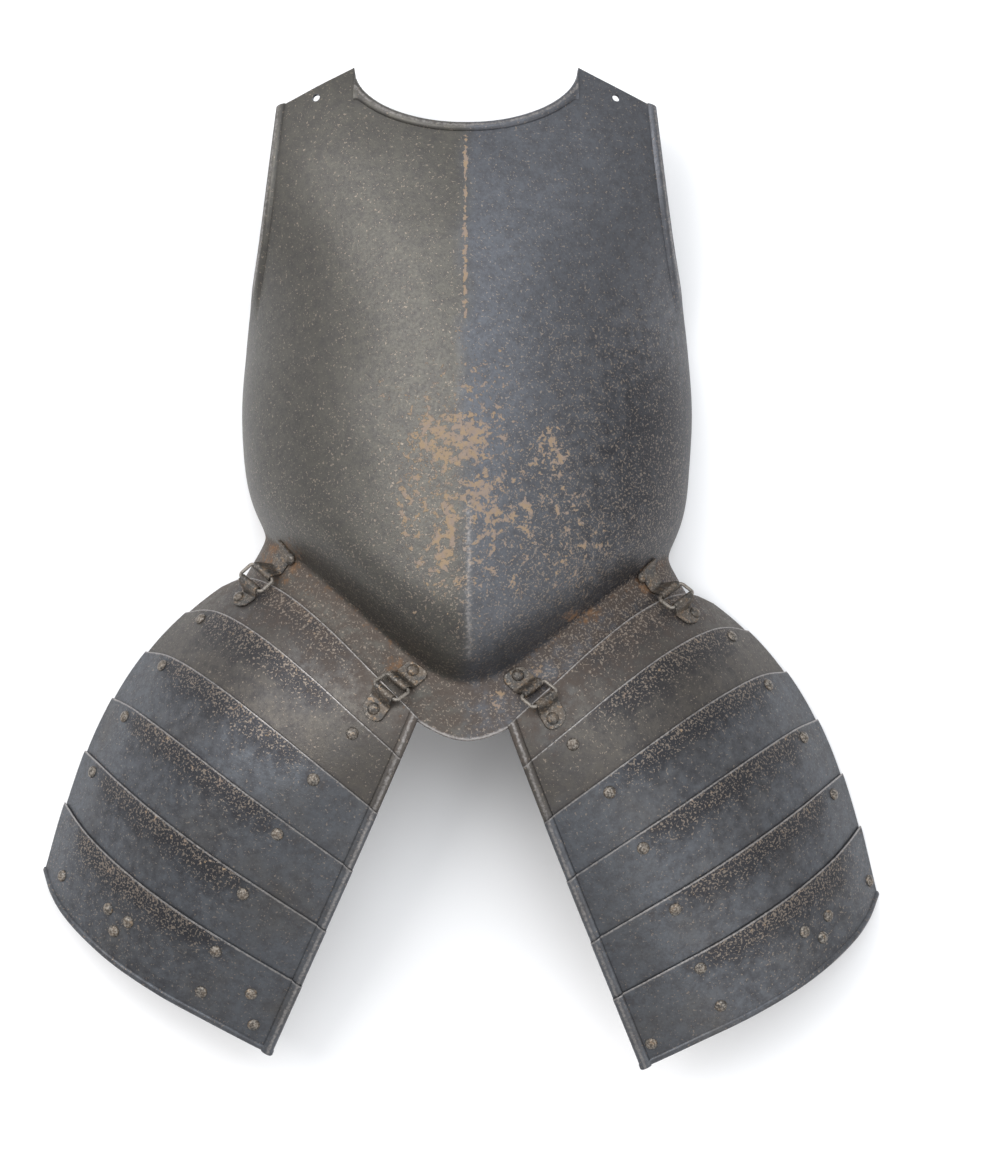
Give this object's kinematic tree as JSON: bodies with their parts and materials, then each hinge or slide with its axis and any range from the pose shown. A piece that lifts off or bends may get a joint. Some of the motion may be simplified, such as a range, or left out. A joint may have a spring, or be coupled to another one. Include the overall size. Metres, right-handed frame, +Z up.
{
  "type": "cuirass breastplate with tassets",
  "caption": "Ridged steel breastplate with a waist flange and two hinged thigh guards of overlapping riveted lames, lying hollow side down.",
  "frame": {"origin": "on the surface that it lies on, under the breastplate's ridge, at the middle of the length and within 5 mm of the middle of the breadth", "axes": "+Z up, the front of the breastplate; +Y to the neck; +X to the wearer's left"},
  "size_m": [0.6473, 0.7552, 0.1655],
  "materials": {
    "plate": "dark worn steel with rust",
    "lame": "dark worn steel with rust",
    "fittings": "rusty iron"
  },
  "bodies": {
    "breastplate": {"breastplate": "plate", "hasp_leaf_upper_left_inner": "fittings", "hasp_leaf_upper_left_outer": "fittings", "hasp_leaf_upper_right_inner": "fittings", "hasp_leaf_upper_right_outer": "fittings"},
    "tasset_left": {"rivet_left_mid_2": "fittings", "rivet_left_mid_3": "fittings", "rivet_left_mid_4": "fittings", "rivet_left_mid_5": "fittings", "rivet_left_mid_6": "fittings", "rivet_left_edge_2": "fittings", "rivet_left_edge_3": "fittings", "rivet_left_edge_4": "fittings", "rivet_left_edge_5": "fittings", "rivet_left_foot_1": "fittings", "rivet_left_foot_2": "fittings", "rivet_left_foot_3": "fittings", "rivet_left_foot_4": "fittings", "rivet_left_foot_5": "fittings", "rivet_left_foot_6": "fittings", "lame_left_1": "lame", "lame_left_2": "lame", "lame_left_3": "lame", "lame_left_4": "lame", "lame_left_5": "lame", "lame_left_6": "lame", "hasp_link_left_inner": "fittings", "hasp_leaf_lower_left_inner": "fittings", "hasp_link_left_outer": "fittings", "hasp_leaf_lower_left_outer": "fittings"},
    "tasset_right": {"rivet_right_mid_2": "fittings", "rivet_right_mid_3": "fittings", "rivet_right_mid_4": "fittings", "rivet_right_mid_5": "fittings", "rivet_right_mid_6": "fittings", "rivet_right_edge_2": "fittings", "rivet_right_edge_3": "fittings", "rivet_right_edge_4": "fittings", "rivet_right_edge_5": "fittings", "rivet_right_foot_1": "fittings", "rivet_right_foot_2": "fittings", "rivet_right_foot_3": "fittings", "rivet_right_foot_4": "fittings", "rivet_right_foot_5": "fittings", "rivet_right_foot_6": "fittings", "rivet_right_foot_7": "fittings", "lame_right_1": "lame", "lame_right_2": "lame", "lame_right_3": "lame", "lame_right_4": "lame", "lame_right_5": "lame", "lame_right_6": "lame", "hasp_link_right_inner": "fittings", "hasp_leaf_lower_right_inner": "fittings", "hasp_link_right_outer": "fittings", "hasp_leaf_lower_right_outer": "fittings"}
  },
  "joints": [
    {"name": "tasset_left_swing", "type": "hinge", "parent": "breastplate", "child": "tasset_left", "pos_m": [0.10134, -0.05391, 0.09093], "axis": [-0.727, -0.497, 0.4737], "range_deg": [0, 75]},
    {"name": "tasset_right_swing", "type": "hinge", "parent": "breastplate", "child": "tasset_right", "pos_m": [-0.10113, -0.04442, 0.09101], "axis": [-0.7033, 0.5448, -0.4568], "range_deg": [0, 75]}
  ]
}
